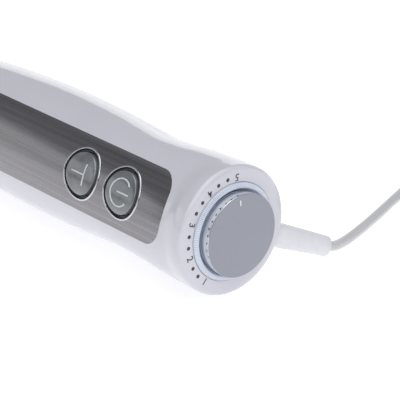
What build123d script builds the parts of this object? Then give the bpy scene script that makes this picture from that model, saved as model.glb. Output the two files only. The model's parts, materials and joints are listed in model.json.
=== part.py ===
"""A mains hand blender lying on its side: motor handle, twist-off blending foot and its cord.

The pieces are drawn in a handle frame and set down at the end. In the handle frame +X runs along
the axis towards the speed dial, with x = 0 at the plane of the dial's rim, -Y is the front with
the steel panel, and +Y is the back, where the cord leaves. Millimetres throughout.
"""
import os
from math import cos, pi, radians, sin, sqrt, tan

from build123d import *

# ---- how it lies on the table ----
ROLL = 24.0  # the back is turned this far down towards the table
BODY_R = 33.6  # widest radius of the handle, and of the guard's rim
KNOB_TOP = 6.76  # top of the speed knob above the dial plane
GUARD_RIM = -392.0  # free end of the bell guard

# ---- casing ----
WALL = 2.2
GAP = 0.15  # clearance round a fitted part that doesn't move
MOVE_GAP = 0.3  # clearance between moving curved faces
RUN_GAP = 0.04  # radial clearance of a running shaft
SHELL_TOP = -2.6
SHELL_END = -206.0
SPLIT_Y = 4.0  # front and rear shells part just behind the middle
HALF_WIDTHS = [  # x along the handle, radius of its sides and back
    (-210, 30.8), (-198, 31.6), (-185, 32.4), (-170, 33.0), (-153, 33.5), (-137, 33.6), (-122, 33.4),
    (-108, 33.0), (-91, 32.3), (-75, 31.3), (-59, 30.6), (-43, 31.4), (-30, 32.6), (-20, 33.1),
    (-11, 33.4), (-4, 33.4), (0.5, 33.4),
]
PANEL_R = 34.55  # curvature of the front and its steel panel
PANEL_C = 3.99  # that curve's centre, behind the handle's axis
PANEL_HALF = 19.25
PANEL_TOP = -18.4
PANEL_END = -197.0
PANEL_CORNER = 10.0
PANEL_BOW = 3.0  # how far the end by the dial is bowed outwards
PANEL_THICK = 0.7
FLANGE_FROM, FLANGE_TO = -17.5, -5.0  # the flattened front grows back to a full round here

# ---- end cap and speed dial ----
CAP_EDGE = 2.3  # rounding of the cap's rim
DIAL_R = 25.1
DIAL_SINK = 0.9
KNOB_R = 21.4
KNOB_SKIRT_TOP = 1.6
POT_SHAFT_R = 3.0
POT_BUSH_R = 4.4
POT_R = 8.0

# ---- buttons ----
POWER_X = -50.99
TURBO_X = -83.15
BEZEL_R = 13.8
BEZEL_RING = 0.95
SEAL_SHOWS = 1.85  # dark seal left in sight between the bezel and the cap
CAP_R = BEZEL_R - BEZEL_RING - SEAL_SHOWS
CAP_PROUD = 1.0
TRAVEL = 1.8

# ---- motor ----
SHAFT_R = 3.0
STATOR_R = 25.0
STATOR_BORE = 15.5
AIR_GAP = 0.5
CORE_FROM, CORE_TO = -176.0, -146.0
BRACKET_R = 24.8
MOUNT_R = 27.4
UPPER_BRACKET = (-122.0, -118.0)
LOWER_BRACKET = (-200.0, -196.0)
BEARING_R = 8.0
MOTOR_SHAFT = (-214.0, -113.0)

# ---- bayonet and foot ----
COLLAR_END = -222.0
COLLAR_R = 30.4
SOCKET_R = 24.0
LUG_R = 26.2
LUG_X = (-214.5, -211.5)
LUG_HALF = 9.0  # half the arc of a lug, degrees
TWIST = 30.0  # turn that frees the foot, degrees
FOOT_FIT = 0.3
TUBE_R_TOP, TUBE_R_END = 15.5, 14.1
TUBE_TOP, TUBE_END = -250.0, -346.0
SHEET = 0.9  # steel sheet of the tube and guard
FOOT_SHAFT = (-377.0, -219.0)
FOOT_BUSH_R = 5.6
BLADE_X = -373.5
BLADE_R = 20.5

# ---- cord ----
CORD_D = 5.0
SLEEVE_ROOT = (-10.5, 31.0)  # x and y of the sleeve's centre line at the wall
SLEEVE_TIP = (1.5, 68.0)
SLEEVE_R_ROOT, SLEEVE_R_TIP = 6.75, 5.2
TIE_THICK = 0.8
TIE_WIDE = 9.0
COIL_CENTRE = (190.0, 178.0)
COIL_MID_R = 27.5
COIL_FLOOR = TIE_THICK + 0.1
COIL_HEIGHT = 14.0
COIL_WIDTH = 16.0
ROUTE_Z = CORD_D / 2 + 0.1
ROUTE = [  # from the sleeve's tip to the coil, on the table after the first few points
    (193.9, 65.2, 4.9), (192.2, 71.5, 3.5), (189.9, 79.5, 2.7), (187.0, 89.0, ROUTE_Z),
    (183.0, 101.0, ROUTE_Z), (177.2, 116.5, ROUTE_Z), (170.2, 134.5, ROUTE_Z),
    (163.6, 152.3, ROUTE_Z), (158.6, 168.1, ROUTE_Z),
]
TAIL = [  # from the coil's last turn down into the plug's neck
    (222.9, 186.0, 11.8), (223.3, 176.0, 11.0), (224.4, 166.5, 9.6), (226.0, 157.5, 8.0),
    (227.2, 148.5, 6.95), (227.5, 139.0, 6.8),
]
PLUG_AT = (227.5, 120.0)
PLUG_WIDE, PLUG_LONG, PLUG_HIGH = 13.4, 26.0, 13.6
PLUG_NECK = 16.0
PIN_R, PIN_LONG, PIN_APART = 2.0, 19.0, 8.4

parts = {}
MID_X = (KNOB_TOP + GUARD_RIM) / 2


def along(radius, x0, x1, y=0.0, z=0.0):
    """A cylinder along the handle's axis, from x0 to x1."""
    return Pos((x0 + x1) / 2, y, z) * Rot(0, 90, 0) * Cylinder(radius, x1 - x0)


def tube(outer, inner, x0, x1):
    return along(outer, x0, x1) - along(inner, x0 - 1, x1 + 1)


def through(radius, x, y0, y1, z=0.0):
    """A cylinder from front to back, from y0 to y1."""
    return Pos(x, (y0 + y1) / 2, z) * Rot(90, 0, 0) * Cylinder(radius, y1 - y0)


def block(x0, x1, y0, y1, z0, z1):
    return Pos((x0 + x1) / 2, (y0 + y1) / 2, (z0 + z1) / 2) * Box(x1 - x0, y1 - y0, z1 - z0)


def turned(points, arc=360.0, start=0.0):
    """A solid turned about the axis from (x, radius) corners, over an arc that starts at `start`."""
    face = make_face(Polyline(*[(x, 0, r) for x, r in points], close=True))
    return Rot(start, 0, 0) * revolve(face, Axis.X, revolution_arc=arc)


def sector(r0, r1, x0, x1, middle, half):
    """Part of a ring, centred at the angle `middle` from +Z about the axis."""
    corners = [(x0, r0), (x1, r0), (x1, r1), (x0, r1)]
    return turned(corners, 2 * half, middle - half)


def front_curve(offset, x0=-230.0, x1=20.0):
    """The solid bounded by the front's curve, moved outwards by `offset`."""
    return along(PANEL_R + offset, x0, x1, y=PANEL_C)


def smooth(a, b, v):
    t = min(max((v - a) / (b - a), 0.0), 1.0)
    return t * t * (3 - 2 * t)


def half_width(x):
    """Radius of the sides at x, from a smooth curve through HALF_WIDTHS."""
    xs = [p[0] for p in HALF_WIDTHS]
    i = max(k for k in range(len(xs) - 1) if xs[k] <= x)
    (x0, w0), (x1, w1) = HALF_WIDTHS[i], HALF_WIDTHS[i + 1]
    before, after = HALF_WIDTHS[max(i - 1, 0)], HALF_WIDTHS[min(i + 2, len(xs) - 1)]
    m0 = (w1 - before[1]) / (x1 - before[0]) * (x1 - x0)
    m1 = (after[1] - w0) / (after[0] - x0) * (x1 - x0)
    t = (x - x0) / (x1 - x0)
    return (w0 * (2 * t**3 - 3 * t**2 + 1) + m0 * (t**3 - 2 * t**2 + t)
            + w1 * (3 * t**2 - 2 * t**3) + m1 * (t**3 - t**2))


def section(x, inset):
    """Outline of the casing across the axis at x, drawn inwards by `inset`."""
    points = []
    for k in range(36):
        angle = 2 * pi * k / 36
        c = -cos(angle)  # +1 at the back, -1 at the front
        w = half_width(x)
        front = -PANEL_C * -c + sqrt(PANEL_R**2 - (PANEL_C * sin(angle))**2)
        turn = abs(angle if angle <= pi else 2 * pi - angle)
        share = max(smooth(radians(44), radians(88), turn), smooth(FLANGE_FROM, FLANGE_TO, x))
        r = front * (1 - share) + w * share - inset
        points.append((x, r * c, r * sin(angle)))
    return make_face(Spline(*points, periodic=True))


def body(inset, x0, x1):
    """The casing's lofted form between x0 and x1."""
    stations = [x0] + [p[0] for p in HALF_WIDTHS if x0 + 2 < p[0] < x1 - 2] + [x1]
    return loft([section(x, inset) for x in stations])


def panel_prism(grow):
    """The panel's outline, seen from the front, as a block through the front of the handle."""
    top, end, half = PANEL_TOP + grow, PANEL_END - grow, PANEL_HALF + grow
    bowed = ThreePointArc((top - PANEL_BOW, -half), (top, 0), (top - PANEL_BOW, half))
    sides = Polyline((top - PANEL_BOW, half), (end, half), (end, -half), (top - PANEL_BOW, -half))
    outline = make_face([*bowed.edges(), *sides.edges()])
    outline = fillet(outline.vertices(), PANEL_CORNER + grow)
    return Pos(0, -30, 0) * Rot(90, 0, 0) * extrude(outline, 12, both=True)


def cone_to_tip(r_root, r_tip, back, ahead):
    """A taper on the sleeve's line, from `back` before the wall to `ahead` past it."""
    root, tip = Vector(*SLEEVE_ROOT, 0), Vector(*SLEEVE_TIP, 0)
    way = (tip - root).normalized()
    plane = Plane(origin=root - way * back, z_dir=way)
    return plane * Pos(0, 0, (back + ahead) / 2) * Cone(r_root, r_tip, back + ahead)


SLEEVE_LEN = (Vector(*SLEEVE_TIP, 0) - Vector(*SLEEVE_ROOT, 0)).length
SCREWS = [(-27.0, 20.5), (-27.0, -20.5), (-107.5, 22.0), (-107.5, -22.0)]
POST_R, SCREW_R, HEAD_R = 3.4, 1.4, 2.7
HEAD_Y = 15.0


# ---- casing ----
def make_casing():
    outer = body(0, SHELL_END, SHELL_TOP)
    inner = body(WALL, SHELL_END - 2, SHELL_TOP + 1)
    ribs = [tube(BODY_R, MOUNT_R + 0.05, *span) for span in (UPPER_BRACKET, LOWER_BRACKET)]
    shell = outer - inner
    for rib in ribs:
        shell += rib & body(WALL / 2, SHELL_END, SHELL_TOP)
    shell -= cone_to_tip(SLEEVE_R_ROOT + GAP, SLEEVE_R_TIP + GAP, 4, SLEEVE_LEN)
    front_half = block(-240, 20, -50, SPLIT_Y, -50, 50)
    rear_half = block(-240, 20, SPLIT_Y, 50, -50, 50)
    front, rear = shell & front_half, shell & rear_half

    front -= panel_prism(GAP / 2) - front_curve(-PANEL_THICK)
    for x, z in SCREWS:
        post = through(POST_R, x, -22.4, SPLIT_Y, z) - through(SCREW_R, x, -12, SPLIT_Y + 1, z)
        front += post & body(WALL / 2, SHELL_END, SHELL_TOP) & front_curve(-PANEL_THICK - 0.4)
        rear += through(POST_R, x, SPLIT_Y, 29, z) & body(WALL / 2, SHELL_END, SHELL_TOP)
        rear -= through(SCREW_R + GAP, x, SPLIT_Y - 1, HEAD_Y + 1, z)
        rear -= through(HEAD_R + GAP, x, HEAD_Y, 40, z)
    for x in (POWER_X, TURBO_X):
        front -= through(BEZEL_R + GAP, x, -40, -20)
    for k in range(7):  # air slots at the back, beside the fan
        angle = -36 + 12 * k
        rear -= Rot(angle, 0, 0) * block(-193, -183, 26, 40, -1.3, 1.3)
    parts["front_shell"] = front
    parts["rear_shell"] = rear

    screws = [through(SCREW_R, x, -11.5, HEAD_Y, z) + through(HEAD_R, x, HEAD_Y, HEAD_Y + 2, z)
              - block(x - 2, x + 2, HEAD_Y + 1.1, HEAD_Y + 3, z - 0.35, z + 0.35)
              - block(x - 0.35, x + 0.35, HEAD_Y + 1.1, HEAD_Y + 3, z - 2, z + 2)
              for x, z in SCREWS]
    parts["casing_screws"] = Compound(screws)

    panel = (panel_prism(-GAP / 2) & front_curve(0)) - front_curve(-PANEL_THICK + 0.02)
    for x in (POWER_X, TURBO_X):
        panel -= through(BEZEL_R + GAP, x, -40, -20)
    parts["steel_panel"] = panel


def make_end_cap():
    rim_r = half_width(-4)
    arc = [(SHELL_TOP + CAP_EDGE * sin(radians(a)), rim_r - CAP_EDGE * (1 - cos(radians(a))))
           for a in range(0, 91, 15)]
    top = [(arc[-1][0], rim_r - CAP_EDGE), (0.0, rim_r - CAP_EDGE - 1.2), (0.0, DIAL_R + MOVE_GAP)]
    floor = [(-DIAL_SINK, DIAL_R + MOVE_GAP), (-DIAL_SINK, POT_BUSH_R + GAP),
             (-3.4, POT_BUSH_R + GAP), (-3.4, 27.2), (-5.6, 27.2), (-5.6, 29.6),
             (SHELL_TOP, 29.6)]
    cap = turned(arc + top[1:] + floor)
    cap -= cone_to_tip(SLEEVE_R_ROOT + 1.0, SLEEVE_R_TIP + 1.0, 12, SLEEVE_LEN)
    parts["end_cap"] = cap


# ---- buttons ----
def make_button(name, x, mark):
    inside, outside = front_curve(-WALL - 1.5), front_curve(0.5)
    hole = through(BEZEL_R - BEZEL_RING, x, -40, -18)
    barrel = (through(BEZEL_R, x, -40, -18) & outside) - inside - hole
    flange = (through(BEZEL_R + 1.8, x, -40, -15) & front_curve(-WALL - 0.12)) - inside - hole
    parts[f"{name}_bezel"] = barrel + flange

    seal_r = BEZEL_R - BEZEL_RING - 0.03
    seal = (through(seal_r, x, -40, -18) & front_curve(-0.8)) - front_curve(-3.0)
    parts[f"{name}_seal"] = seal - through(CAP_R + MOVE_GAP, x, -40, -18)

    cap = through(CAP_R, x, -40, -23.5) & front_curve(CAP_PROUD)
    cap = cap + (through(seal_r - 0.4, x, -40, -22.5) & front_curve(-3.1))
    cap = cap - through(CAP_R - 3, x, -25.6, -20) + through(2.0, x, -26, -18)
    cap += mark(x) & front_curve(CAP_PROUD + 0.4)
    parts[f"{name}_button"] = cap

    parts[f"{name}_switch_pin"] = through(1.2, x, -17.9, -12.5)
    switch = block(x - 6, x + 6, -14, -6, -6, 6) - through(1.2 + 0.1, x, -15, -10)
    parts[f"{name}_switch"] = switch


def turbo_mark(x):
    """Raised bars in a T, head towards the dial."""
    bar = block(x + 2.6, x + 4.0, -40, -28, -5.7, 5.7)
    return bar + block(x - 6.8, x + 3.3, -40, -28, -0.7, 0.7)


def power_mark(x):
    """The usual raised arc, open towards the dial, with a bar."""
    ring = through(7.7, x, -40, -27) - through(6.3, x, -41, -26)
    ring -= block(x, x + 9, -41, -26, -4.2, 4.2)
    return ring + block(x - 2, x + 6.6, -40, -28, -0.7, 0.7)


# ---- electrics ----
def make_electrics():
    board = block(-103, -36, -6, -4.4, -14, 14)
    parts["control_board"] = board
    fins = block(-97, -95, -4.4, 8, -11, 11) + block(-97, -84, -4.4, -2.9, -11, 11)
    for z in (-10, -4, 2, 8):
        fins += block(-95, -90, -2.9, 8, z, z + 1.4)
    parts["triac_heatsink"] = fins
    parts["suppressor_capacitor"] = fillet(
        block(-78, -60, -4.4, 6.6, -7, 7).edges().filter_by(Axis.Y), 1.2)
    terminals = block(-52, -40, -4.4, 7.6, -11, 11)
    for z in (-7, 0, 7):
        terminals -= through(1.5, -46, 3, 9, z)
    parts["terminal_block"] = terminals

    pot = along(POT_R, -26, -14) - along(POT_SHAFT_R + RUN_GAP, -22, -13)
    pot += tube(POT_BUSH_R, POT_SHAFT_R + RUN_GAP, -14, -1.2)
    pot += block(-27.2, -26, -10, 6, -7, 7)
    parts["speed_potentiometer"] = pot
    parts["potentiometer_nut"] = tube(POT_BUSH_R + 2.6, POT_BUSH_R, -5.4, -3.5)

    clamp = block(-37, -29, 12, 16, -10, 10) - block(-38, -28, 14.8, 17, -2.6, 2.6)
    parts["cord_clamp"] = clamp
    clamp_screws = [through(1.4, -33, 6, 12, z) + through(2.4, -33, 10, 12, z) for z in (-7, 7)]
    parts["clamp_screws"] = Compound(clamp_screws)


# ---- motor ----
def make_motor():
    coil_half = 33.0
    core = tube(STATOR_R, STATOR_BORE, CORE_FROM, CORE_TO)
    for side in (0, 180):
        core -= sector(16.6, 22.2, CORE_FROM - 1, CORE_TO + 1, side, coil_half)
    parts["stator_core"] = core
    coils = []
    for side in (0, 180):
        lump = sector(16.8, 22.0, CORE_FROM - 7, CORE_TO + 7, side, coil_half - 0.8)
        coils.append(lump)
    parts["field_coils"] = Compound(coils)

    for name, span, face in (("upper", UPPER_BRACKET, CORE_TO), ("lower", LOWER_BRACKET, CORE_FROM)):
        hole = SHAFT_R + 1.5
        seat = (span[0] + 0.9, span[1] + 0.1) if name == "upper" else (span[0] - 0.1, span[1] - 0.9)
        bracket = tube(BRACKET_R, hole, *span) - along(BEARING_R, *seat)
        low, high = (face, span[0] + 0.5) if name == "upper" else (span[1] - 0.5, face)
        for side in (0, 180):
            bracket += sector(22.6, BRACKET_R, low, high, side, 14)
        for side in (90, 270):
            bracket -= sector(12, 20, span[0] - 1, span[1] + 1, side, 22)
        parts[f"{name}_bracket"] = bracket
        parts[f"{name}_bearing"] = tube(BEARING_R, SHAFT_R, seat[0] + 0.1, seat[1] - 0.1)
        parts[f"{name}_mount_ring"] = tube(MOUNT_R, BRACKET_R, *span)

    holders, brushes = [], []
    for side in (1, -1):
        y0, y1 = sorted((side * 12.0, side * 23.5))
        holder = block(-137, -122, y0, y1, -4.2, 4.2) - block(-135, -127, -40, 40, -2.7, 2.7)
        holders.append(holder)
        y0, y1 = sorted((side * 10.2, side * 20.0))
        brushes.append(block(-134.9, -127.1, y0, y1, -2.6, 2.6))
    parts["brush_holders"] = Compound(holders)
    parts["carbon_brushes"] = Compound(brushes)

    parts["motor_shaft"] = along(SHAFT_R, *MOTOR_SHAFT)
    parts["commutator"] = tube(10.0, SHAFT_R, -138, -125)
    core_r = STATOR_BORE - AIR_GAP
    armature = tube(core_r, SHAFT_R, CORE_FROM, CORE_TO)
    for k in range(12):
        armature -= Rot(30 * k, 0, 0) * block(CORE_FROM - 1, CORE_TO + 1, -0.9, 0.9, 11.5, 18)
    parts["armature_core"] = armature
    parts["armature_winding"] = Compound([
        turned([(CORE_TO, SHAFT_R), (CORE_TO, 13), (CORE_TO + 3, 14.2), (-139.5, 12), (-138, SHAFT_R)]),
        turned([(CORE_FROM, SHAFT_R), (CORE_FROM, 13), (CORE_FROM - 4, 13.8), (-182.5, SHAFT_R)]),
    ])
    fan = tube(7.0, SHAFT_R, -194, -186) + tube(22.5, 6.0, -186.9, -185.7)
    for k in range(11):
        blade = Pos(-190, 0, 14.5) * Rot(28, 0, 0) * Box(6.6, 1.1, 15.4)
        fan += Rot(360 / 11 * k, 0, 0) * blade & along(22.5, -194, -186)
    parts["cooling_fan"] = fan


# ---- bayonet, drive and foot ----
def hexagon(across, x0, x1):
    prism = extrude(RegularPolygon(across, 6, major_radius=False), x1 - x0)
    return Pos(x0, 0, 0) * Rot(0, 90, 0) * prism


def make_bayonet():
    collar = turned([(COLLAR_END, SOCKET_R), (COLLAR_END, COLLAR_R - 0.6), (COLLAR_END + 0.6, COLLAR_R),
                     (SHELL_END, COLLAR_R), (SHELL_END, 27.9), (-202.0, 27.9), (-202.0, 24.5),
                     (-205.5, 24.5), (-205.5, 9.0), (-208.0, 9.0), (-208.0, SOCKET_R)])
    groove = (LUG_X[0] - MOVE_GAP, LUG_X[1] + MOVE_GAP)
    reach = LUG_HALF + 2
    for side in (0, 180):
        middle = side + TWIST / 2
        collar -= sector(SOCKET_R - 1, LUG_R + MOVE_GAP, *groove, middle, TWIST / 2 + reach)
        collar -= sector(SOCKET_R - 1, LUG_R + MOVE_GAP, COLLAR_END - 1, groove[1], side + TWIST, reach)
    parts["bayonet_collar"] = collar

    parts["drive_dog"] = hexagon(5.6, -216.5, -203.5) - along(SHAFT_R, -214, -200)
    socket = tube(8.3, SHAFT_R, -221.8, -209) - hexagon(5.6 + 0.1, -219.0, -208)
    parts["shaft_socket"] = socket
    parts["foot_shaft"] = along(SHAFT_R, *FOOT_SHAFT)


def make_foot():
    top = COLLAR_END - FOOT_FIT
    tube_fit = TUBE_R_TOP + 0.03
    foot = turned([
        (top, 29.9), (top - 2, 29.8), (-236, 26.6), (-250, 19.8), (-258, 17.4), (-258.6, 17.0),
        (-258.6, tube_fit), (TUBE_TOP, tube_fit), (TUBE_TOP, 6.0), (-238, 6.0), (-238, 8.5),
        (-246.5, 8.5), (-246.5, 18.6), (-236, 23.8), (top - 2.4, 26.6), (top - 2.4, 20.2),
        (-210.5, 20.2), (-210.5, SOCKET_R - MOVE_GAP), (top, SOCKET_R - MOVE_GAP)])
    for side in (0, 180):
        foot += sector(22.5, LUG_R, *LUG_X, side, LUG_HALF)
    parts["foot_collar"] = foot

    def wall_r(x):
        return TUBE_R_TOP + (TUBE_R_END - TUBE_R_TOP) * (x - TUBE_TOP) / (TUBE_END - TUBE_TOP)

    parts["foot_tube"] = turned([
        (TUBE_TOP, wall_r(TUBE_TOP)), (TUBE_END, wall_r(TUBE_END)),
        (TUBE_END, wall_r(TUBE_END) - SHEET), (TUBE_TOP, wall_r(TUBE_TOP) - SHEET)])
    parts["upper_bush"] = tube(6.0, SHAFT_R + RUN_GAP, TUBE_TOP, -238)
    parts["lower_bush"] = tube(FOOT_BUSH_R, SHAFT_R + RUN_GAP, -362.5, -352)
    parts["shaft_seal"] = tube(FOOT_BUSH_R, SHAFT_R + 0.05, -366, -362.6)

    flare = [(TUBE_END, TUBE_R_END), (-354, 15.4), (-364, 21.4), (-373, 29.4), (-380, 32.7),
             (GUARD_RIM, BODY_R)]
    outer = Spline(*[(x, 0, r) for x, r in flare], tangents=((-1, 0, 0), (-1, 0, 0.02)))
    inner_points = [(TUBE_END, TUBE_R_END - SHEET), (-354.6, 14.3), (-364.7, 20.3),
                    (-373.7, 28.3), (-380.4, 31.6), (GUARD_RIM, BODY_R - SHEET)]
    inner = Spline(*[(x, 0, r) for x, r in inner_points], tangents=((-1, 0, 0), (-1, 0, 0.02)))
    sheet = make_face([outer, Line(outer @ 1, inner @ 1), inner, Line(inner @ 0, outer @ 0)])
    guard = revolve(sheet, Axis.X)
    web = turned([(-352, FOOT_BUSH_R), (-352, 13.9), (-353.6, 14.3), (-353.6, 7.6),
                  (-366, 7.6), (-366, FOOT_BUSH_R)])
    guard += web
    for side in (0, 90, 180, 270):
        window = block(-386.5, -377.5, -6.5, 6.5, 24, 40)
        guard -= Rot(side + ROLL, 0, 0) * fillet(window.edges().filter_by(Axis.Z), 2.5)
    parts["bell_guard"] = guard

    parts["blade_hub"] = tube(4.6, SHAFT_R, BLADE_X + 0.7, -367.0)
    parts["blade_nut"] = tube(4.6, SHAFT_R, -377.0, BLADE_X - 0.7)
    wing = make_face(Polyline((4.2, -4.2), (12, -4.6), (12, 3.0), (4.2, 4.2), close=True))
    tip = make_face(Polyline((0, -4.6), (7.5, -3.4), (8.3, -1.0), (6.5, 1.0), (0, 3.0), close=True))
    blade = tube(5.6, SHAFT_R, BLADE_X - 0.6, BLADE_X + 0.6)
    for side, bend in ((0, 24), (180, -24)):
        flat = Plane.YZ * extrude(wing, 0.6, both=True)
        bent = Plane.YZ * Pos(11.8, 0, 0) * Rot(0, bend, 0) * extrude(tip, 0.6, both=True)
        blade += Rot(side, 0, 0) * Pos(BLADE_X, 0, 0) * (flat + bent)
    parts["blade"] = blade - along(SHAFT_R, BLADE_X - 5, BLADE_X + 5)


# ---- speed knob ----
def make_dial():
    low = -DIAL_SINK + 0.15
    skirt = turned([(low, KNOB_R + 0.2), (low, DIAL_R - 0.3), (low + 0.5, DIAL_R), (0.35, DIAL_R),
                    (0.9, DIAL_R - 0.35), (KNOB_SKIRT_TOP, KNOB_R + 1.7), (KNOB_SKIRT_TOP, KNOB_R + 1.1),
                    (0.9, KNOB_R + 0.6), (0.6, KNOB_R + 0.2)])
    parts["knob_skirt"] = skirt
    knob = turned([(low, POT_SHAFT_R), (low, KNOB_R + 0.2), (0.6, KNOB_R + 0.2), (0.6, KNOB_R),
                   (KNOB_TOP - 0.35, KNOB_R), (KNOB_TOP, KNOB_R - 0.35), (KNOB_TOP, 0),
                   (KNOB_TOP - 2.2, 0), (KNOB_TOP - 2.2, POT_SHAFT_R)])
    hollow = tube(KNOB_R - 1.8, 5.4, low - 1, KNOB_TOP - 1.6)
    parts["speed_knob"] = knob - hollow
    parts["potentiometer_shaft"] = along(POT_SHAFT_R, -21.5, KNOB_TOP - 2.2)


# ---- cord ----
def in_place(shape):
    """From the handle frame to where the blender lies on the table."""
    return Pos(-MID_X, 0, BODY_R) * Rot(-ROLL, 0, 0) * shape


def coil_ring(grow):
    """The outer form of the wound cord, grown all round by `grow`."""
    section = Rectangle(COIL_WIDTH + 2 * grow, COIL_HEIGHT + 2 * grow)
    section = fillet(section.vertices(), CORD_D / 2 + grow)
    placed = Plane.XZ * Pos(COIL_MID_R, COIL_FLOOR + COIL_HEIGHT / 2) * section
    return Pos(*COIL_CENTRE, 0) * revolve(placed, Axis.Z)


def flex(points):
    """The cord along a route: straight runs joined by arcs as large as the runs allow."""
    radii = []
    for before, here, after in zip(points, points[1:], points[2:]):
        a, b = here - before, after - here
        radii.append(0.45 * min(a.length, b.length) / tan(radians(a.get_angle(b)) / 2))
    path = FilletPolyline(*points, radius=radii)
    cord = sweep(Plane(origin=path @ 0, z_dir=path % 0) * Circle(CORD_D / 2), path)
    share = cord.volume / (pi * CORD_D**2 / 4 * path.length)
    print("cord run", round(path.length, 1), "volume share", round(share, 4),
          "radii", [round(r, 1) for r in radii])
    return cord


def make_cord():
    sleeve = cone_to_tip(SLEEVE_R_ROOT, SLEEVE_R_TIP, 4.0, SLEEVE_LEN)
    grip = cone_to_tip(8.8, 8.4, 5.5, -3.2)
    tail = cone_to_tip(CORD_D / 2 + 0.2, CORD_D / 2 + 0.4, 11.0, -5.0)
    parts["strain_relief"] = in_place(sleeve + grip + tail)

    tip = in_place(Pos(*SLEEVE_TIP, 0)).position
    way = Vector(Vector(*SLEEVE_TIP, 0) - Vector(*SLEEVE_ROOT, 0)).normalized().rotate(Axis.X, -ROLL)
    out = flex([tip - way * 3] + [Vector(*p) for p in ROUTE])
    parts["power_cord"] = Compound([out, flex([Vector(*p) for p in TAIL])])

    parts["cord_coil"] = coil_ring(0)
    strap = Pos(*COIL_CENTRE, 0) * Pos(0, -COIL_MID_R, 0) * Box(TIE_WIDE, 30, 60)
    parts["cord_tie"] = (coil_ring(TIE_THICK) - coil_ring(0.03)) & strap


def make_plug():
    """The plug lies on the table with its neck towards the coil and its pins away from it."""
    body = extrude(fillet(Rectangle(PLUG_WIDE, PLUG_LONG).vertices(), 3.0), PLUG_HIGH)
    body = fillet(body.edges().group_by(Axis.Z)[-1], 2.0)
    out = (Align.CENTER, Align.CENTER, Align.MIN)
    half, middle = PLUG_LONG / 2, PLUG_HIGH / 2
    neck = Pos(0, half, middle) * Rot(-90, 0, 0) * Cone(5.6, CORD_D / 2 + 0.9, PLUG_NECK, align=out)
    pins = [Pos(s * PIN_APART / 2, -half, middle) * Rot(90, 0, 0) * Cylinder(PIN_R, PIN_LONG, align=out)
            for s in (-1, 1)]
    parts["mains_plug"] = Pos(*PLUG_AT, 0) * (body + neck)
    parts["plug_pins"] = Pos(*PLUG_AT, 0) * Compound(pins)


for make in (make_casing, make_end_cap, make_electrics, make_motor, make_bayonet, make_foot, make_dial):
    make()
make_button("power", POWER_X, power_mark)
make_button("turbo", TURBO_X, turbo_mark)
parts = {name: in_place(shape) for name, shape in parts.items()}
make_cord()
make_plug()

os.makedirs("parts", exist_ok=True)
for name, shape in parts.items():
    export_step(shape, f"parts/{name}.step")
print(len(parts), "parts")
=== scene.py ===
"""Looks of a mains hand blender lying on a pale table: white handle, brushed panel, dial and cord.

Pieces are drawn in the handle's own frame, in millimetres: +X along the axis towards the speed
dial with x = 0 at the dial's rim, -Y the front with the steel panel, +Y the back. `laid_down`
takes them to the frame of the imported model, in metres.
"""
import json
from math import atan2, ceil, cos, pi, radians, sin, sqrt

import bmesh
import bpy
from mathutils import Matrix, Vector


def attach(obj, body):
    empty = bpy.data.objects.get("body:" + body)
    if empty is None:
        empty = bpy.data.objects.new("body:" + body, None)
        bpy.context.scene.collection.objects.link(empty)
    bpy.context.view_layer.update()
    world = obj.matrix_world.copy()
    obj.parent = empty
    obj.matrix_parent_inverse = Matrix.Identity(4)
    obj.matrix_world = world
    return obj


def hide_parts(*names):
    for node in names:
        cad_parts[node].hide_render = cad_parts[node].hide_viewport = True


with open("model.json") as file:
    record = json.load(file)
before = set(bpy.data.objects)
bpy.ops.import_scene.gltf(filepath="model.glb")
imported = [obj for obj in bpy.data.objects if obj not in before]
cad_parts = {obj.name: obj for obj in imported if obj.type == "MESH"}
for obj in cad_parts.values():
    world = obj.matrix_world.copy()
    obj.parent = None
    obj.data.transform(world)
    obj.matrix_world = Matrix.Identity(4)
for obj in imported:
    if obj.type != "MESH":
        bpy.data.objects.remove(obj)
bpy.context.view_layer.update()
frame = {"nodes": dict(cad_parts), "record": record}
MM = 0.001

# ---- sizes, in millimetres ----
ROLL = 24.0  # degrees that the front faces up from level
AXIS_HEIGHT = 33.6  # of the handle's axis above the table
KNOB_TOP = 6.76
GUARD_RIM = -392.0
MIDDLE_X = (KNOB_TOP + GUARD_RIM) / 2
WALL = 2.2
SHELL_TOP, SHELL_END = -2.6, -206.0
SPLIT_Y = 4.0  # the two shells part here, just behind the middle
HALF_WIDTHS = [  # x along the handle, radius of its sides and back
    (-210, 30.8), (-198, 31.6), (-185, 32.4), (-170, 33.0), (-153, 33.5), (-137, 33.6), (-122, 33.4),
    (-108, 33.0), (-91, 32.3), (-75, 31.3), (-59, 30.6), (-43, 31.4), (-30, 32.6), (-20, 33.1),
    (-11, 33.4), (-4, 33.4), (0.5, 33.4),
]
PANEL_R, PANEL_C = 34.55, 3.99  # curvature of the front, and its centre behind the axis
PANEL_HALF, PANEL_TOP, PANEL_END, PANEL_CORNER = 19.25, -18.4, -197.0, 10.0
PANEL_THICK, PANEL_BOW = 0.7, 3.0
FLANGE_FROM, FLANGE_TO = -17.5, -5.0  # the flattened front grows back to a full round here
SCREW_HOLE_R = 2.85
SCREW_HOLES = [(x, side * z) for x, z in ((-27.0, 20.5), (-107.5, 22.0)) for side in (1, -1)]
AIR_SLOTS, AIR_SLOT_X, AIR_SLOT_STEP = 7, -188, 12  # how many, where, and degrees apart
DIAL_R, KNOB_R, DIAL_SINK = 25.1, 21.4, 0.9
SKIRT_RIBS = 168
CAP_EDGE = 2.3
MARK_R = 28.0
MARKS = 13  # five numbers with two dots between neighbours
MARK_STEP = 12.09  # degrees between neighbouring marks
DIGIT_SIZE, DOT_R = 5.3, 1.0
POINTER_AT, POINTER_R = -64.0, 17.4  # degrees from the front, and the radius of its middle
BUTTONS = {"power": -50.99, "turbo": -83.15}
BEZEL_R, BEZEL_RING = 13.8, 0.95
CAP_R = 11.0
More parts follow.
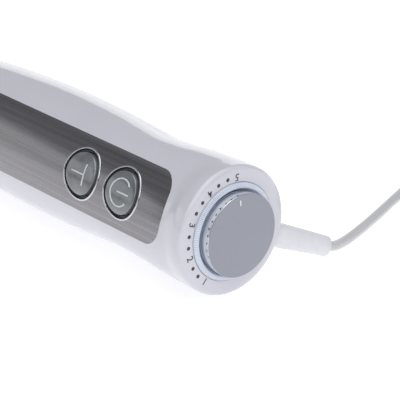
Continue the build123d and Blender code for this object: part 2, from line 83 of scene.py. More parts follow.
CAP_RISE = 1.0  # of a button cap above the front's curve
POWER_ARC_R, POWER_ARC_WIRE, POWER_ARC_GAP = 7.0, 0.42, 38  # the gap in degrees each way
GUARD_WINDOWS = 4
SLEEVE_ROOT, SLEEVE_TIP = (-10.5, 31.0), (1.5, 68.0)
SLEEVE_R_ROOT, SLEEVE_R_TIP = 6.75, 5.2
CORD_D = 5.0
COIL_CENTRE = (190.0, 178.0)
COIL_START = 196  # degrees about the coil's centre
TURN_POINTS, COIL_POINTS = 14, 90

laid_down = (Matrix.Translation((-MIDDLE_X * MM, 0, AXIS_HEIGHT * MM))
             @ Matrix.Rotation(radians(-ROLL), 4, "X") @ Matrix.Scale(MM, 4))


# ---------------------------------------------------------------- materials
class Value:
    """A socket that takes part in sums; each sum adds its Math node."""

    def __init__(self, finish, socket):
        self.finish, self.socket = finish, socket

    def _math(self, operation, *values):
        return self.finish.node("ShaderNodeMath", {"operation": operation}, *values)

    def __add__(self, other):
        return self._math("ADD", self, other)

    def __radd__(self, other):
        return self._math("ADD", other, self)

    def __mul__(self, other):
        return self._math("MULTIPLY", self, other)

    def __rmul__(self, other):
        return self._math("MULTIPLY", other, self)


class Finish:
    """A material with one Principled shader, and the one way to add nodes to it."""

    def __init__(self, name, **sockets):
        self.material = bpy.data.materials.new(name)
        self.material.use_nodes = True
        self.tree = self.material.node_tree
        self.shader = self.tree.nodes["Principled BSDF"]
        for socket, value in sockets.items():
            self.set(socket.replace("_", " "), value)

    def set(self, socket, value):
        if isinstance(value, Value):
            self.tree.links.new(value.socket, self.shader.inputs[socket])
        else:
            self.shader.inputs[socket].default_value = value

    def node(self, kind, settings, *inputs, out=0, at=None, **named):
        made = self.tree.nodes.new(kind)
        for key, value in settings.items():
            if key == "stops":
                for stop, (place, colour) in zip(made.color_ramp.elements, value):
                    stop.position, stop.color = place, colour
            else:
                setattr(made, key, value)
        wanted = list(enumerate(inputs)) + list((at or {}).items())
        wanted += [(k.replace("_", " "), v) for k, v in named.items()]
        for key, value in wanted:
            if isinstance(value, Value):
                self.tree.links.new(value.socket, made.inputs[key])
            else:
                made.inputs[key].default_value = value
        return Value(self, made.outputs[out])

    def place(self):
        return self.node("ShaderNodeTexCoord", {}, out=3)

    def stretched(self, scale):
        return self.node("ShaderNodeMapping", {}, Vector=self.place(), Scale=scale)

    def noise(self, vector, scale, detail=2.0, roughness=0.5):
        return self.node("ShaderNodeTexNoise", {}, Vector=vector, Scale=scale, Detail=detail,
                         Roughness=roughness)

    def span(self, value, low, high, to_low, to_high):
        return self.node("ShaderNodeMapRange", {}, value, low, high, to_low, to_high)

    def mix(self, share, one, two):
        return self.node("ShaderNodeMix", {"data_type": "RGBA"}, out=2, at={0: share, 6: one, 7: two})

    def bump(self, height, distance, strength=1.0):
        self.set("Normal", self.node("ShaderNodeBump", {}, Strength=strength, Distance=distance,
                                     Height=height))


def white_plastic():
    f = Finish("white_gloss", Roughness=0.3, Coat_Weight=0.9, Coat_Roughness=0.035, Coat_IOR=1.55)
    broad = f.noise(f.place(), 14.0)
    f.set("Base Color", f.mix(f.span(broad, 0.3, 0.7, 0.0, 1.0), (0.60, 0.60, 0.66, 1),
                              (0.64, 0.64, 0.70, 1)))
    fine = f.noise(f.place(), 900.0, 3.0)
    f.set("Roughness", f.span(fine, 0.2, 0.8, 0.26, 0.36))
    f.bump(f.noise(f.place(), 160.0, 2.0), 0.00002, 0.35)
    return f.material


def brushed_steel(name, light, dark, rough, along=(4, 900, 900)):
    f = Finish(name, Metallic=1.0, Roughness=rough)
    lines = f.noise(f.stretched(along), 1.0, 4.0, 0.65)
    long_marks = f.noise(f.stretched((along[0] * 2.2, along[1] * 0.3, along[2] * 0.3)), 1.0, 3.0)
    both = lines * 0.65 + long_marks * 0.35
    f.set("Base Color", f.mix(f.span(both, 0.3, 0.7, 0.0, 1.0), dark, light))
    f.set("Roughness", f.span(both, 0.3, 0.7, rough - 0.05, rough + 0.07))
    f.bump(both, 0.00003, 0.5)
    return f.material


def plain_finish(name, colour, rough, metallic=0.0, coat=0.0, grain=600.0, spread=0.06):
    """A moulded or turned surface with a fine grain in its colour and its shine."""
    f = Finish(name, Metallic=metallic, Coat_Weight=coat, Coat_Roughness=0.06)
    grainy = f.noise(f.place(), grain, 3.0)
    darker = tuple(c * (1 - spread) for c in colour) + (1,)
    f.set("Base Color", f.mix(f.span(grainy, 0.3, 0.7, 0.0, 1.0), darker, tuple(colour) + (1,)))
    f.set("Roughness", f.span(grainy, 0.25, 0.75, max(rough - 0.04, 0.02), rough + 0.05))
    f.bump(grainy, 0.00002, 0.3)
    return f.material


def skirt_finish():
    f = Finish("skirt_ice", Roughness=0.22, Coat_Weight=0.6, Coat_Roughness=0.05,
               Subsurface_Weight=0.25, Subsurface_Radius=(0.002, 0.002, 0.003))
    shade = f.noise(f.place(), 120.0)
    f.set("Base Color", f.mix(f.span(shade, 0.3, 0.7, 0.0, 1.0), (0.50, 0.56, 0.68, 1),
                              (0.58, 0.64, 0.76, 1)))
    return f.material


white = white_plastic()
panel_steel = brushed_steel("panel_steel", (0.33, 0.322, 0.335, 1), (0.20, 0.195, 0.205, 1), 0.27)
foot_steel = brushed_steel("foot_steel", (0.74, 0.74, 0.75, 1), (0.56, 0.56, 0.57, 1), 0.22,
                           (300, 60, 60))
chrome = plain_finish("bezel_chrome", (0.66, 0.66, 0.69), 0.08, metallic=1.0, grain=900.0)
dark_ring = plain_finish("dark_rubber", (0.018, 0.022, 0.035), 0.32, coat=0.3)
button_silver = plain_finish("button_silver", (0.25, 0.265, 0.28), 0.24, metallic=0.4, coat=0.8,
                             grain=85.0, spread=0.5)
# Clear raised ribs of the button marks; their pale colour is painted highlight, standing in for the
# white glints along the ridges.
clear_mark_painted_highlight = plain_finish("clear_mark_painted_highlight", (0.62, 0.64, 0.66), 0.14, coat=1.0)
knob_top = plain_finish("knob_grey", (0.30, 0.315, 0.36), 0.34, metallic=0.25, coat=0.25, spread=0.03)
knob_side = plain_finish("knob_side", (0.80, 0.81, 0.84), 0.06, metallic=1.0, grain=900.0)
skirt_ice = skirt_finish()
rib_clear = plain_finish("rib_clear", (0.84, 0.87, 0.94), 0.2, coat=0.6)
print_dark = plain_finish("print_dark", (0.035, 0.035, 0.05), 0.4)
pointer_white = plain_finish("pointer_white", (0.9, 0.9, 0.92), 0.35)
sleeve_white = plain_finish("sleeve_white", (0.76, 0.755, 0.80), 0.42, coat=0.2, grain=240.0)
cord_white = plain_finish("cord_white", (0.58, 0.58, 0.60), 0.33, coat=0.35, grain=500.0)
slot_finishes = {
    "black_plastic": plain_finish("black_plastic", (0.03, 0.03, 0.034), 0.5),
    "nylon_white": plain_finish("nylon_white", (0.78, 0.77, 0.72), 0.5),
    "shaft_steel": plain_finish("shaft_steel", (0.6, 0.6, 0.62), 0.28, metallic=1.0, grain=900.0),
    "aluminium_plain": plain_finish("aluminium_plain", (0.7, 0.7, 0.72), 0.4, metallic=1.0),
    "core_steel": plain_finish("core_steel", (0.3, 0.31, 0.33), 0.45, metallic=0.9, grain=1500.0),
    "copper_wire": plain_finish("copper_wire", (0.62, 0.26, 0.12), 0.35, metallic=0.8, grain=1500.0),
    "bush_bronze": plain_finish("bush_bronze", (0.55, 0.38, 0.18), 0.4, metallic=1.0),
    "carbon": plain_finish("carbon", (0.03, 0.03, 0.03), 0.7),
    "board_green": plain_finish("board_green", (0.04, 0.16, 0.07), 0.35, coat=0.4),
    "tie_dark": plain_finish("tie_dark", (0.03, 0.03, 0.033), 0.45),
    "foot_steel": foot_steel, "dark_rubber": dark_ring, "cord_white": cord_white,
    "white_gloss": white, "panel_steel": panel_steel, "bezel_chrome": chrome,
    "button_silver": button_silver, "knob_grey": knob_top, "skirt_ice": skirt_ice,
    "sleeve_white": sleeve_white,
}
for part in frame["record"]["subparts"]:
    mesh = frame["nodes"][part["node"]].data
    mesh.materials.clear()
    mesh.materials.append(slot_finishes[part["material_slot"]])


# ---------------------------------------------------------------- mesh helpers
def piece(name, bm, body, materials, replaces=(), sharp=32.0, weld=True):
    """Sets a bmesh down in the shared frame as a finished piece on its body."""
    if weld:
        bmesh.ops.remove_doubles(bm, verts=bm.verts, dist=0.0005)
        bmesh.ops.recalc_face_normals(bm, faces=bm.faces)
    bmesh.ops.transform(bm, matrix=laid_down, verts=bm.verts)
    for face in bm.faces:
        face.smooth = True
    mesh = bpy.data.meshes.new(name)
    bm.to_mesh(mesh)
    bm.free()
    mesh.set_sharp_from_angle(angle=radians(sharp))
    for material in materials:
        mesh.materials.append(material)
    made = bpy.data.objects.new(name, mesh)
    bpy.context.collection.objects.link(made)
    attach(made, body)
    for node in replaces:
        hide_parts(node)
    return made


def spun(profile, steps):
    """A closed form turned about X from (x, radius) corners."""
    bm = bmesh.new()
    verts = [bm.verts.new((x, 0, r)) for x, r in profile]
    edges = [bm.edges.new(pair) for pair in zip(verts, verts[1:] + verts[:1])]
    bmesh.ops.spin(bm, geom=verts + edges, cent=(0, 0, 0), axis=(1, 0, 0), angle=2 * pi,
                   steps=steps, use_merge=True)
    bmesh.ops.remove_doubles(bm, verts=bm.verts, dist=0.0005)
    bmesh.ops.recalc_face_normals(bm, faces=bm.faces)
    return bm


def arc(cx, cr, radius, start, end, steps=6):
    """Corners of a round stretch of a profile, angles in degrees from +X."""
    return [(cx + radius * cos(radians(start + (end - start) * k / steps)),
             cr + radius * sin(radians(start + (end - start) * k / steps)))
            for k in range(steps + 1)]


def smooth_step(a, b, v):
    """0 before a, 1 past b, and a soft S between."""
    t = min(max((v - a) / (b - a), 0.0), 1.0)
    return t * t * (3 - 2 * t)


def hermite(start, end, start_slope, end_slope, t):
    """A point of the cubic that leaves `start` and reaches `end` at the given slopes."""
    return (start * (2 * t**3 - 3 * t**2 + 1) + start_slope * (t**3 - 2 * t**2 + t)
            + end * (3 * t**2 - 2 * t**3) + end_slope * (t**3 - t**2))


def half_width(x):
    """Radius of the casing's sides at x, on a smooth curve through HALF_WIDTHS."""
    xs = [p[0] for p in HALF_WIDTHS]
    i = max(k for k in range(len(xs) - 1) if xs[k] <= x)
    (x0, w0), (x1, w1) = HALF_WIDTHS[i], HALF_WIDTHS[i + 1]
    before, after = HALF_WIDTHS[max(i - 1, 0)], HALF_WIDTHS[min(i + 2, len(xs) - 1)]
    m0 = (w1 - before[1]) / (x1 - before[0]) * (x1 - x0)
    m1 = (after[1] - w0) / (after[0] - x0) * (x1 - x0)
    return hermite(w0, w1, m0, m1, (x - x0) / (x1 - x0))


def casing_point(x, angle, inset):
    """A point of the casing at x; the angle is taken from the front, either way round."""
    c = cos(angle)
    front = -PANEL_C * c + sqrt(PANEL_R**2 - (PANEL_C * sin(angle))**2)
    share = max(smooth_step(radians(44), radians(88), abs(angle)),
                smooth_step(FLANGE_FROM, FLANGE_TO, x))
    r = front * (1 - share) + half_width(x) * share - inset
    return Vector((x, -r * c, r * sin(angle)))


def casing_form(inset, x0, x1, sides=144, step=2.0):
    """The casing's closed form between x0 and x1, ring by ring."""
    bm = bmesh.new()
    bmesh.ops.create_circle(bm, cap_ends=True, segments=sides, radius=1.0,
                            matrix=Matrix.Rotation(pi / 2, 4, "Y"))
    count = ceil((x1 - x0) / step)
    edges = bm.edges[:]
    ring = bm.verts[:]
    for k in range(count + 1):
        if k:
            grown = bmesh.ops.extrude_edge_only(bm, edges=edges)["geom"]
            edges = [g for g in grown if isinstance(g, bmesh.types.BMEdge)
                     and all(v in grown for v in g.verts)]
            ring = [g for g in grown if isinstance(g, bmesh.types.BMVert)]
        for v in ring:
            v.co = casing_point(x0 + (x1 - x0) * k / count, atan2(v.co.z, -v.co.y), inset)
    bmesh.ops.contextual_create(bm, geom=edges)
    bmesh.ops.recalc_face_normals(bm, faces=bm.faces)
    return bm


def surface_y(z):
    """The front's curve at z across the handle."""
    return PANEL_C - sqrt(PANEL_R**2 - z**2)


def wrapped(bm):
    """Lays a flat-made piece on the front's curve: its y is the height above the panel."""
    for v in bm.verts:
        v.co.y = surface_y(v.co.z) - v.co.y
    return bm


def panel_slab(grow, low, high, edge=0.0):
    """The panel's outline as a slab from height `low` to `high` above the front's curve."""
    bm = bmesh.new()
    length, half = (PANEL_TOP - PANEL_END) / 2 + grow, PANEL_HALF + grow
    middle = (PANEL_TOP + PANEL_END) / 2
    corners = [bm.verts.new((middle + sx * length, low, sz * half))
               for sx, sz in ((-1, -1), (1, -1), (1, 1), (-1, 1))]
    bm.faces.new(corners)
    bmesh.ops.bevel(bm, geom=corners, offset=PANEL_CORNER + grow, segments=12, profile=0.5,
                    affect="VERTICES", material=-1, clamp_overlap=False)
    grown = bmesh.ops.extrude_face_region(bm, geom=bm.faces[:])["geom"]
    top = [g for g in grown if isinstance(g, bmesh.types.BMVert)]
    bmesh.ops.translate(bm, verts=top, vec=(0, high - low, 0))
    if edge:
        rim = [e for e in bm.edges if all(v in top for v in e.verts)]
        bmesh.ops.bevel(bm, geom=rim, offset=edge, segments=3, profile=0.5, affect="EDGES",
                        material=-1, clamp_overlap=False)
    strips = 15  # on each side of the middle, so that the slab can follow the curve
    for k in range(1 - strips, strips):
        bmesh.ops.bisect_plane(bm, geom=bm.verts[:] + bm.edges[:] + bm.faces[:],
                               plane_co=(0, 0, k * half / strips), plane_no=(0, 0, 1), dist=0.0001)
    for v in bm.verts:
        near_end = smooth_step(middle, PANEL_TOP - PANEL_CORNER, v.co.x)
        v.co.x -= PANEL_BOW * (v.co.z / half)**2 * near_end
    bmesh.ops.recalc_face_normals(bm, faces=bm.faces)
    return wrapped(bm)


def upright(profile, x, steps=96):
    """A ring or disc turned about a button's own axis, from (radius, height) corners."""
    bm = spun([(h, r) for r, h in profile], steps)
    bmesh.ops.transform(bm, matrix=Matrix.Rotation(pi / 2, 4, "Z"), verts=bm.verts)
    bmesh.ops.translate(bm, verts=bm.verts, vec=(x, 0, 0))
    return bm


def rod(radius, start, end, sides=64):
    """A plain closed cylinder between two points."""
    start, end = Vector(start), Vector(end)
    turn = (end - start).to_track_quat("Z", "Y").to_matrix().to_4x4()
    bm = bmesh.new()
    bmesh.ops.create_cone(bm, cap_ends=True, segments=sides, radius1=radius, radius2=radius,
                          depth=(end - start).length,
                          matrix=Matrix.Translation((start + end) / 2) @ turn)
    return bm


def bar(centre, size, round_by=0.0, turn=0.0):
    """A box, its edges rounded, turned about X."""
    bm = bmesh.new()
    bmesh.ops.create_cube(bm, size=1.0)
    bmesh.ops.scale(bm, vec=size, verts=bm.verts)
    if round_by:
        bmesh.ops.bevel(bm, geom=bm.edges[:], offset=round_by, segments=3, profile=0.5,
                        affect="EDGES", material=-1)
    bmesh.ops.translate(bm, verts=bm.verts, vec=centre)
    bmesh.ops.rotate(bm, verts=bm.verts, cent=(0, 0, 0), matrix=Matrix.Rotation(turn, 3, "X"))
    return bm


def joined(*parts):
    """One bmesh from several; the others are freed."""
    whole = parts[0]
    for part in parts[1:]:
        spare = bpy.data.meshes.new("spare")
        part.to_mesh(spare)
        part.free()
        whole.from_mesh(spare)
        bpy.data.meshes.remove(spare)
    return whole


def as_object(bm):
    """A bmesh as an object for a boolean step; the bmesh is freed."""
    mesh = bpy.data.meshes.new("tool")
    bm.to_mesh(mesh)
    bm.free()
    made = bpy.data.objects.new("tool", mesh)
    bpy.context.collection.objects.link(made)
    return made


def carved(bm, *steps):
    """Applies boolean steps, each an (operation, bmesh) pair, and returns the result."""
    work = as_object(bm)
    tools = []
    for operation, form in steps:
        tool = as_object(form)
        tools.append(tool)
        modifier = work.modifiers.new("cut", "BOOLEAN")
        modifier.operation, modifier.object, modifier.solver = operation, tool, "EXACT"
    ready = work.evaluated_get(bpy.context.evaluated_depsgraph_get())
    mesh = bpy.data.meshes.new_from_object(ready)
    result = bmesh.new()
    result.from_mesh(mesh)
    bpy.data.meshes.remove(mesh)
    for gone in (work, *tools):
        old = gone.data
        bpy.data.objects.remove(gone)
        bpy.data.meshes.remove(old)
    return result


# ---------------------------------------------------------------- casing
def sleeve_axis():
    """Both ends of the cord sleeve's centre line, and its direction."""
    root, tip = Vector((*SLEEVE_ROOT, 0)), Vector((*SLEEVE_TIP, 0))
    return root, tip, (tip - root).normalized()


def button_holes(radius):
    """Boolean steps that open the front under both buttons."""
    return [("DIFFERENCE", rod(radius, (x, -40, 0), (x, -18, 0))) for x in BUTTONS.values()]


def shell_side(y):
    """The boolean step that keeps the half of the casing whose middle is at y."""
    return "INTERSECT", bar(((SHELL_TOP + SHELL_END) / 2, y, 0), (260, 80, 90))


def hollow():
    """The boolean step that leaves the casing's wall."""
    return "DIFFERENCE", casing_form(WALL, SHELL_END - 3, SHELL_TOP + 3)


def make_shells():
    recess = panel_slab(0.12, -PANEL_THICK, 6)
    front = carved(casing_form(0, SHELL_END, SHELL_TOP), hollow(), ("DIFFERENCE", recess),
                   *button_holes(BEZEL_R - 0.2), shell_side(SPLIT_Y - 40))
    piece("casing_front", front, "handle", [white], ["front_shell"])

    first_slot = -126  # degrees round the back
    slots = [bar((AIR_SLOT_X, 0, 33), (10, 2.6, 14), 0.6, radians(first_slot + AIR_SLOT_STEP * k))
             for k in range(AIR_SLOTS)]
    screws = [rod(SCREW_HOLE_R, (x, 15, z), (x, 40, z), 32) for x, z in SCREW_HOLES]
    root, _, way = sleeve_axis()
    outlet = rod(SLEEVE_R_ROOT + 0.35, root - way * 4, root + way * 12)
    rear = carved(casing_form(0, SHELL_END, SHELL_TOP), hollow(), ("DIFFERENCE", joined(*slots)),
                  ("DIFFERENCE", joined(*screws)), ("DIFFERENCE", outlet), shell_side(SPLIT_Y + 40))
    piece("casing_rear", rear, "handle", [white], ["rear_shell"])


def make_panel():
    sheet = carved(panel_slab(-0.16, -PANEL_THICK + 0.03, 0.06, edge=0.3),
                   *button_holes(BEZEL_R - 0.15))
    piece("front_panel", sheet, "handle", [panel_steel], ["steel_panel"], sharp=24)


def make_end_cap():
    rim_r = half_width(-4)
    outer = arc(SHELL_TOP, rim_r - CAP_EDGE, CAP_EDGE, 90, 18, 8)
    face = [(-0.12, 30.2), (0.0, 29.4), (0.0, DIAL_R + 0.34), (-0.06, DIAL_R + 0.28)]
    under = [(-DIAL_SINK, DIAL_R + 0.28), (-DIAL_SINK, 4.6), (-3.4, 4.6), (-3.4, 27.2), (-3.4, 30.6),
             (SHELL_TOP, 30.6)]
    piece("cap_ring", spun(outer + face + under, 192), "handle", [white],
          ["end_cap"])


def digit(text):
    """One raised number, lying flat about its own middle."""
    curve = bpy.data.curves.new("digit", "FONT")
    curve.body, curve.size, curve.extrude = text, DIGIT_SIZE, 0.03
    curve.align_x, curve.align_y = "CENTER", "CENTER"
    curve.offset = 0.05
    source = bpy.data.objects.new("digit", curve)
    bpy.context.collection.objects.link(source)
    ready = source.evaluated_get(bpy.context.evaluated_depsgraph_get())
    mesh = bpy.data.meshes.new_from_object(ready)
    bm = bmesh.new()
    bm.from_mesh(mesh)
    bpy.data.objects.remove(source)
    bpy.data.curves.remove(curve)
    bpy.data.meshes.remove(mesh)
    return bm


def make_dial_marks():
    """Numbers 5 to 1 with two dots between neighbours, their tops towards the knob."""
    marks = []
    up = Vector((1, 0, 0))
    for k in range(MARKS):
        angle = radians((k - MARKS // 2) * MARK_STEP)
        outward = Vector((0, -cos(angle), -sin(angle)))
        spot = outward * MARK_R
        if k % 3:
            marks.append(rod(DOT_R, spot - up * 0.02, spot + up * 0.04, 20))
            continue
        glyph = digit(str(5 - k // 3))
        right = Vector((0, sin(angle), -cos(angle)))
        turn = Matrix((right, -outward, up)).transposed().to_4x4()
        bmesh.ops.transform(glyph, verts=glyph.verts,
                            matrix=Matrix.Translation(spot + up * 0.02) @ turn)
        marks.append(glyph)
    piece("dial_numbers", joined(*marks), "handle", [print_dark], weld=False)


# ---------------------------------------------------------------- buttons
def half_round(x, z, length, along, width=0.8, height=0.45):
    """A raised rib lying on a button cap, along "x" or "z"."""
    size = (length, height * 2, width) if along == "x" else (width, height * 2, length)
    bm = bmesh.new()
    bmesh.ops.create_cube(bm, size=1.0)
    bmesh.ops.scale(bm, vec=size, verts=bm.verts)
    bmesh.ops.bevel(bm, geom=bm.edges[:], offset=0.3, segments=3, profile=0.5, affect="EDGES",
                    material=-1, clamp_overlap=True)
    cuts = 10
    for k in range(1, cuts):
        bmesh.ops.bisect_plane(bm, geom=bm.verts[:] + bm.edges[:] + bm.faces[:],
                               plane_co=(0, 0, size[2] * (k / cuts - 0.5)), plane_no=(0, 0, 1))
    bmesh.ops.translate(bm, verts=bm.verts, vec=(x, CAP_RISE, z))
    return bm


def power_rib(x):
    """The power mark: an open ring of half round wire, and a rib along the handle."""
    bm = bmesh.new()
    ring = [bm.verts.new((r, h, 0)) for r, h in arc(POWER_ARC_R, CAP_RISE, POWER_ARC_WIRE, 0, 180, 8)]
    edges = [bm.edges.new(pair) for pair in zip(ring, ring[1:] + ring[:1])]
    bm.faces.new(ring)
    gap = radians(POWER_ARC_GAP)
    bmesh.ops.rotate(bm, verts=bm.verts, cent=(0, 0, 0), matrix=Matrix.Rotation(gap, 3, "Y"))
    bmesh.ops.spin(bm, geom=bm.faces[:] + edges + ring, cent=(0, 0, 0), axis=(0, 1, 0),
                   angle=2 * pi - 2 * gap, steps=48)
    bmesh.ops.translate(bm, verts=bm.verts, vec=(x, 0, 0))
    return joined(bm, half_round(x + 2.3, 0, 8.6, "x"))


def turbo_rib(x):
    """A plain T, its top towards the dial."""
    return joined(half_round(x + 3.3, 0, 11.4, "z"), half_round(x - 1.8, 0, 9.6, "x"))


def make_buttons():
    inside = BEZEL_R - BEZEL_RING
    for name, x in BUTTONS.items():
        lip = [(inside, -3.4), (inside, 0.12), (inside + 0.12, 0.36), (inside + 0.4, 0.5),
               (BEZEL_R - 0.25, 0.46), (BEZEL_R - 0.04, 0.26), (BEZEL_R, 0.05), (BEZEL_R, -1.0),
               (BEZEL_R - 0.3, -3.4)]
        piece(f"{name}_lip", wrapped(upright(lip, x)), "handle", [chrome],
              [f"{name}_bezel"], sharp=50)
        seal = [(CAP_R + 0.32, -3.0), (CAP_R + 0.32, -1.7), (CAP_R + 0.7, -1.5), (inside - 0.5, -1.2),
                (inside - 0.03, -0.4), (inside - 0.03, -3.0)]
        piece(f"{name}_gasket", wrapped(upright(seal, x)), "handle", [dark_ring],
              [f"{name}_seal"], sharp=50)
        rings = [(r, CAP_RISE) for r in (10.3, 8.5, 6.5, 4.5, 2.5, 0.0)]
        cap = [(0, -4.0), (CAP_R, -4.0), (CAP_R, 0.35), (CAP_R - 0.12, 0.68), (CAP_R - 0.35, 0.9)]
        piece(f"{name}_cap", wrapped(upright(cap + rings, x)), f"{name}_button",
              [button_silver], [f"{name}_button"], sharp=50)
        rib = power_rib(x) if name == "power" else turbo_rib(x)
        # The marks' pale colour is painted highlight on clear ribs.
        piece(f"{name}_mark", wrapped(rib), f"{name}_button", [clear_mark_painted_highlight],
              sharp=60)


# ---------------------------------------------------------------- dial
def make_knob():
    low = -DIAL_SINK + 0.15
    side = [(low, 3.1), (low, KNOB_R - 0.4), (0.3, KNOB_R), (KNOB_TOP - 0.45, KNOB_R)]
    edge = arc(KNOB_TOP - 0.35, KNOB_R - 0.35, 0.35, 60, 0, 4)
    top = [(KNOB_TOP, 0), (KNOB_TOP - 2, 0), (KNOB_TOP - 2, 3.1)]
    bm = spun(side + edge + top, 192)
    for face in bm.faces:
        middle = face.calc_center_median()
        face.material_index = 0 if middle.x > KNOB_TOP - 0.2 else 1
    piece("knob_cap", bm, "dial", [knob_top, knob_side], ["speed_knob"], sharp=28)

    skirt = [(low, KNOB_R + 0.2), (low, DIAL_R), (0.15, DIAL_R), (0.45, DIAL_R - 0.2),
             (0.85, DIAL_R - 0.9), (1.35, DIAL_R - 1.9), (1.45, KNOB_R + 1.2), (1.1, KNOB_R + 0.75),
             (0.3, KNOB_R + 0.55), (0.1, KNOB_R + 0.2)]
    piece("skirt_ring", spun(skirt, 192), "dial", [skirt_ice], ["knob_skirt"], sharp=40)

    rib_at = (0.92, 0, DIAL_R - 1.15)
    rib = bar(rib_at, (0.46, 0.34, 2.2))
    tilt = Matrix.Rotation(radians(-27), 3, "Y")
    bmesh.ops.rotate(rib, verts=rib.verts, cent=rib_at, matrix=tilt)
    copies = SKIRT_RIBS - 1
    bmesh.ops.spin(rib, geom=rib.verts[:] + rib.edges[:] + rib.faces[:], cent=(0, 0, 0),
                   axis=(1, 0, 0), angle=2 * pi * copies / SKIRT_RIBS, steps=copies,
                   use_duplicate=True)
    piece("skirt_ribs", rib, "dial", [rib_clear])

    angle = radians(POINTER_AT)
    line = bar((KNOB_TOP - 0.01, 0, POINTER_R), (0.06, 0.6, 2.9))
    outward = Vector((0, -cos(angle), -sin(angle)))
    turn = Vector((0, 0, 1)).rotation_difference(outward).to_matrix()
    bmesh.ops.rotate(line, verts=line.verts, cent=(0, 0, 0), matrix=turn)
    piece("knob_pointer", line, "dial", [pointer_white])


# ---------------------------------------------------------------- foot
def smooth_curve(points, steps=6):
    """More points on a smooth curve through the given ones."""
    out = []
    for i in range(len(points) - 1):
        a, b = Vector(points[i]), Vector(points[i + 1])
        before = Vector(points[i - 1]) if i else a
        after = Vector(points[i + 2]) if i + 2 < len(points) else b
        m0, m1 = (b - before) / 2, (after - a) / 2
        for k in range(steps):
            p = hermite(a, b, m0, m1, k / steps)
            out.append((p.x, p.y))
    return out + [tuple(points[-1])]


def make_guard():
    outer = smooth_curve([(-346, 14.1), (-354, 15.4), (-364, 21.4), (-373, 29.4), (-380, 32.7),
                          (-388, 33.5), (GUARD_RIM + 0.3, 33.58)])
    inner = smooth_curve([(GUARD_RIM + 0.3, 32.7), (-380.4, 31.6), (-373.7, 28.3), (-364.7, 20.3),
                          (-354.6, 14.3), (-353.6, 13.4)])
    hub = [(-353.6, 7.6), (-366, 7.6), (-366, 5.62), (-352, 5.62), (-352, 13.2), (-346, 13.2)]
    rim = [(GUARD_RIM, 33.35), (GUARD_RIM, 32.95)]
    windows = []
    for k in range(GUARD_WINDOWS):
        window = bar((-382, 0, 32), (9, 13, 16))
        upright_edges = [e for e in window.edges if abs(e.verts[0].co.z - e.verts[1].co.z) > 1]
        bmesh.ops.bevel(window, geom=upright_edges, offset=2.5, segments=6, profile=0.5,
                        affect="EDGES", material=-1)
        bmesh.ops.rotate(window, verts=window.verts, cent=(0, 0, 0),
                         matrix=Matrix.Rotation(radians(360 / GUARD_WINDOWS * k + ROLL), 3, "X"))
        windows.append(("DIFFERENCE", window))
    guard = carved(spun(outer + rim + inner + hub, 160), *windows)
    piece("guard_bell", guard, "foot", [foot_steel], ["bell_guard"], sharp=34)


# ---------------------------------------------------------------- cord
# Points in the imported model's frame, in millimetres: from the sleeve to the coil, and on to the plug.
ROUTE = [
    (193.9, 65.2, 4.9), (192.2, 71.5, 3.5), (189.9, 79.5, 2.7), (187.0, 89.0, 2.6),
    (183.0, 101.0, 2.6), (177.2, 116.5, 2.6), (170.2, 134.5, 2.6), (163.6, 152.3, 2.6),
]
TAIL = [
    (222.9, 186.0, 11.8), (223.3, 176.0, 11.0), (224.4, 166.5, 9.6), (226.0, 157.5, 8.0),
    (227.2, 148.5, 6.95), (227.5, 139.0, 6.8),
]
WINDINGS = [  # height and radius of each turn
    (3.5, 32.9), (3.5, 27.7), (3.5, 22.6), (7.8, 25.2), (7.8, 30.4), (12.2, 27.8), (12.2, 32.9),
]


def coil_points():
    """The wound length, clockwise: six turns and about a third of the last winding."""
    points = []
    for k in range(COIL_POINTS):
        place = k / TURN_POINTS
        i = int(place)
        (z, r), (next_z, next_r) = WINDINGS[i], WINDINGS[min(i + 1, len(WINDINGS) - 1)]
        blend = smooth_step(0.72, 1.0, place - i)
        z, r = z + (next_z - z) * blend, r + (next_r - r) * blend
        angle = radians(COIL_START) - 2 * pi * place
        points.append((COIL_CENTRE[0] + r * cos(angle), COIL_CENTRE[1] + r * sin(angle), z))
    return points


def make_cord():
    root, tip, way = sleeve_axis()
    outer = [(0.0, SLEEVE_R_ROOT), (2.0, SLEEVE_R_ROOT - 0.05)]
    length = (tip - root).length
    taper = [(s, SLEEVE_R_ROOT + (SLEEVE_R_TIP - SLEEVE_R_ROOT) * s / length)
             for s in (6, 12, 18, 24, 30, 35, length - 1.8)]
    end = [(length - 1.2, SLEEVE_R_TIP - 0.05), (length - 0.2, SLEEVE_R_TIP - 1.3),
           (length, SLEEVE_R_TIP - 1.8), (length, 0.0), (-9.0, 0.0), (-9.0, 2.8), (-5.5, 2.8),
           (-5.5, 8.6), (-3.3, 8.6), (-3.3, SLEEVE_R_ROOT)]
    sleeve = spun(outer + taper + end, 96)
    turn = Vector((1, 0, 0)).rotation_difference(way).to_matrix().to_4x4()
    bmesh.ops.transform(sleeve, verts=sleeve.verts, matrix=Matrix.Translation(root) @ turn)
    relief = piece("cord_sleeve", sleeve, "handle", [sleeve_white],
                   ["strain_relief"], sharp=50)

    start = laid_down @ (tip - way * 3)
    route = [start] + [Vector(p) * MM for p in ROUTE + coil_points() + TAIL]
    curve = bpy.data.curves.new("mains_flex", "CURVE")
    curve.dimensions = "3D"
    curve.bevel_depth = CORD_D / 2 * MM
    curve.bevel_resolution = 6
    curve.use_fill_caps = True
    spline = curve.splines.new("NURBS")
    spline.points.add(len(route) - 1)
    for point, place in zip(spline.points, route):
        point.co = (*place, 1)
    spline.order_u = 3
    spline.use_endpoint_u = True
    spline.resolution_u = 8
    curve.materials.append(cord_white)
    flex = bpy.data.objects.new("mains_flex", curve)
    bpy.context.collection.objects.link(flex)
    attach(flex, "handle")
    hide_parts("power_cord", "cord_coil")


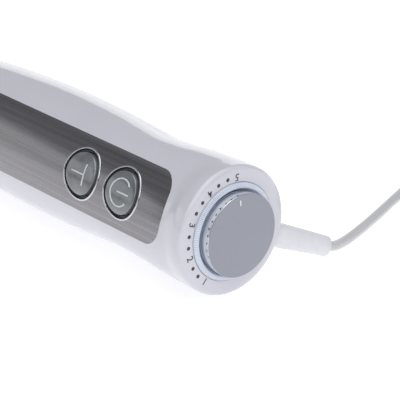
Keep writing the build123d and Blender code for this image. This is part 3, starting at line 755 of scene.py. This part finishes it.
# ---------------------------------------------------------------- stage, light and camera
def make_stage():
    bm = bmesh.new()
    bmesh.ops.create_grid(bm, x_segments=1, y_segments=1, size=6.0)
    mesh = bpy.data.meshes.new("table")
    bm.to_mesh(mesh)
    bm.free()
    f = Finish("table_white", Roughness=0.9, Base_Color=(0.6, 0.6, 0.61, 1), Emission_Strength=0.62)
    f.set("Emission Color", (1, 1, 1, 1))
    mesh.materials.append(f.material)
    table = bpy.data.objects.new("table", mesh)
    bpy.context.collection.objects.link(table)

    world = bpy.data.worlds.new("studio")
    bpy.context.scene.world = world
    world.use_nodes = True
    background = world.node_tree.nodes["Background"]
    background.inputs["Color"].default_value = (0.80, 0.81, 0.86, 1)
    background.inputs["Strength"].default_value = 0.34


def soft_light(name, azimuth, elevation, distance, size, glow):
    """A flat soft light: where it stands round the handle's end, its size and its radiance."""
    light = bpy.data.lights.new(name, "AREA")
    light.shape, light.size, light.size_y = "RECTANGLE", size[0], size[1]
    light.energy = glow * pi * size[0] * size[1]
    lamp = bpy.data.objects.new(name, light)
    aim = Vector((0.1, 0, 0.03))
    a, e = radians(azimuth), radians(elevation)
    lamp.location = aim + distance * Vector((cos(a) * cos(e), sin(a) * cos(e), sin(e)))
    lamp.rotation_euler = (aim - lamp.location).to_track_quat("-Z", "Y").to_euler()
    bpy.context.collection.objects.link(lamp)


def make_lights():
    soft_light("back_strip", 140, 10, 1.7, (3.0, 0.6), 0.95)
    soft_light("left_strip", 222, 12, 1.6, (1.2, 0.45), 0.75)
    soft_light("overhead", 40, 82, 1.5, (1.5, 1.5), 1.5)
    soft_light("near_fill", -25, 38, 1.8, (1.6, 1.4), 1.7)


def make_camera():
    aim = Vector((0.1635, 0.0041, 0.0394))
    azimuth, elevation, roll, distance = radians(50.11), radians(24.295), radians(-1.203), 1.0101
    away = Vector((sin(azimuth) * cos(elevation), -cos(azimuth) * cos(elevation), sin(elevation)))
    data = bpy.data.cameras.new("camera")
    data.lens, data.sensor_width = 184.47, 36.0
    camera = bpy.data.objects.new("camera", data)
    look = (-away).to_track_quat("-Z", "Y").to_matrix().to_4x4()
    stand = Matrix.Translation(aim + away * distance)
    camera.matrix_world = stand @ look @ Matrix.Rotation(roll, 4, "Z")
    bpy.context.collection.objects.link(camera)
    bpy.context.scene.camera = camera
    bpy.context.scene.view_settings.view_transform = "Standard"


make_camera()
make_stage()
make_lights()
make_cord()
make_shells()
make_panel()
make_end_cap()
make_dial_marks()
make_buttons()
make_knob()
make_guard()
